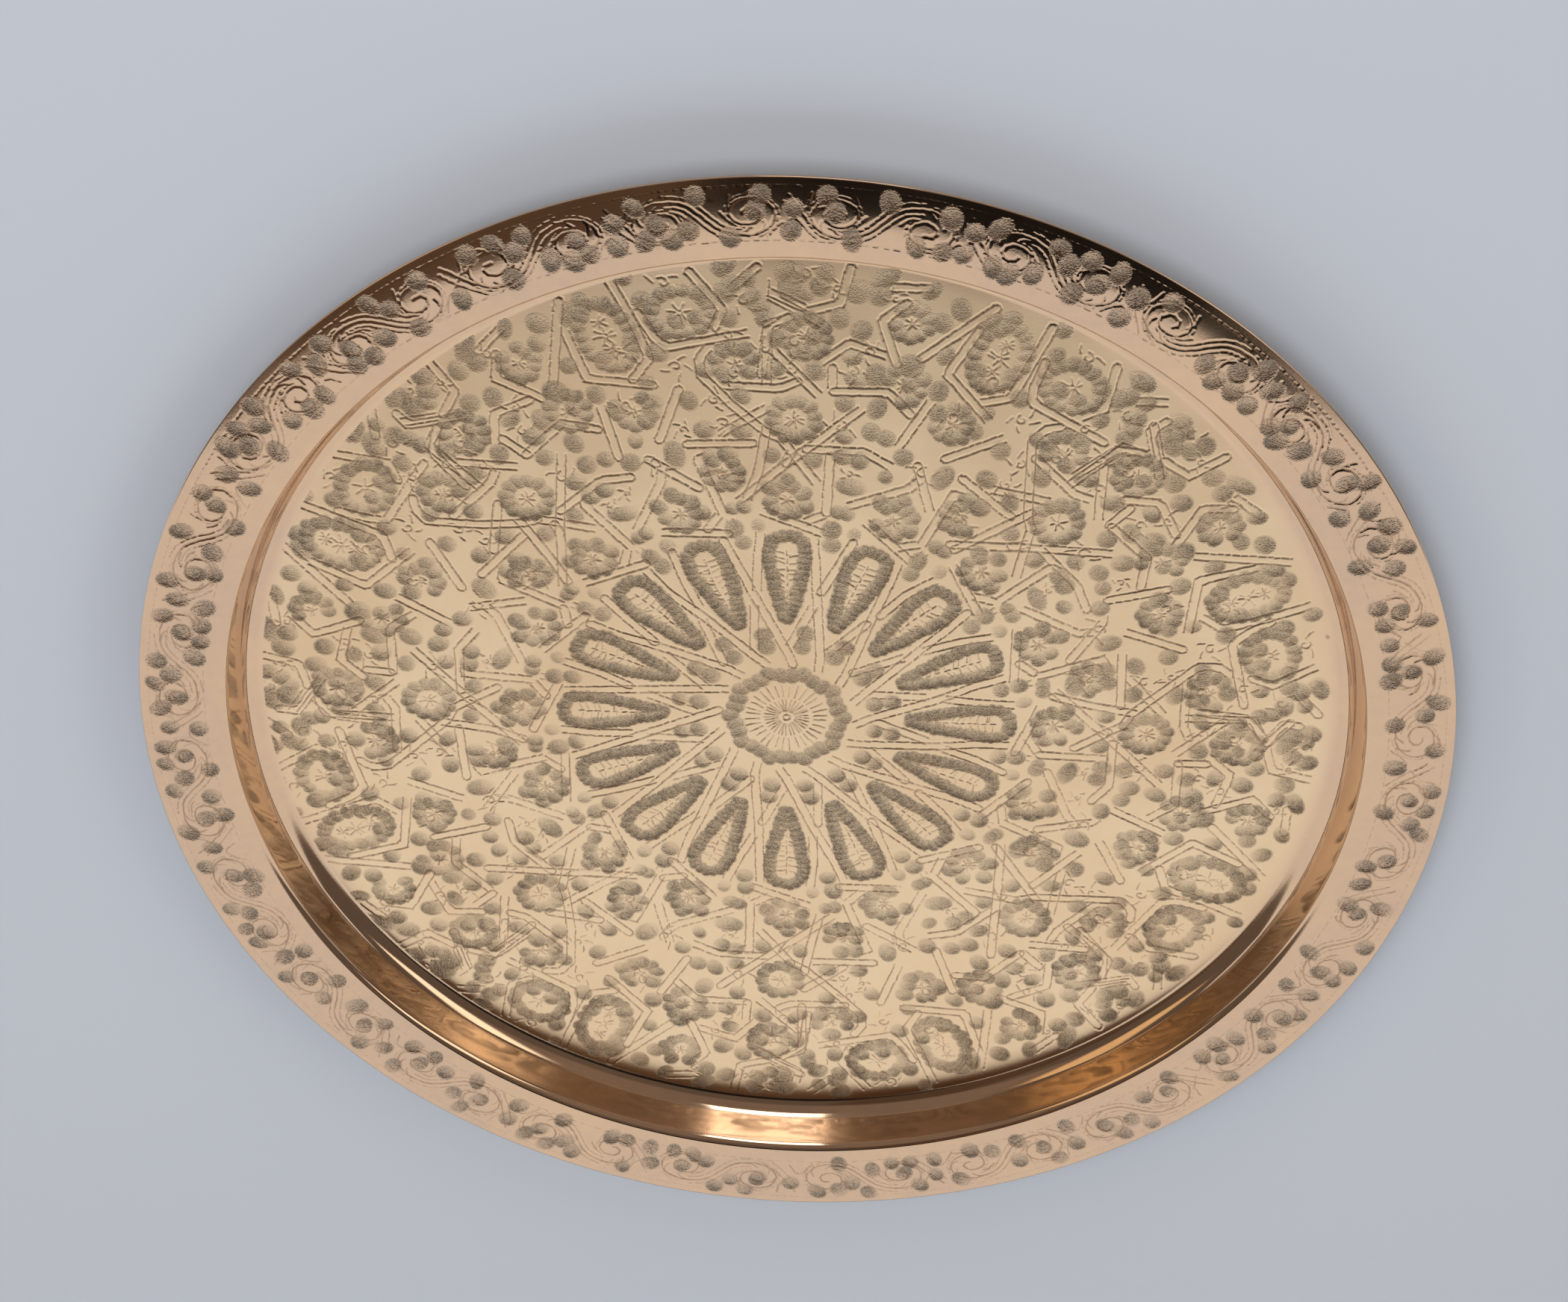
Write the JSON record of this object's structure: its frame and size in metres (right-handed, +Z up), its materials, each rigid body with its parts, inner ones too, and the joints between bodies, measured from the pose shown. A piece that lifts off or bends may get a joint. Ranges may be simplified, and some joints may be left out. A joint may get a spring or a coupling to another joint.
{
  "type": "round serving tray",
  "caption": "Round chased metal tray with a flat floor, a steep hollow wall and a wide flat border, for serving or display.",
  "frame": {"origin": "middle of the underside, on the surface that the tray stands on", "axes": "+Z up, out of the open face of the tray; the chased pattern repeats sixteen times about it, with a petal on +X"},
  "size_m": [0.38, 0.38, 0.0154],
  "materials": {
    "copper": "polished warm copper alloy, chased all over the floor and the border, with matted punch marks in grey"
  },
  "bodies": {
    "root": {"tray_sheet": "copper"}
  },
  "joints": []
}
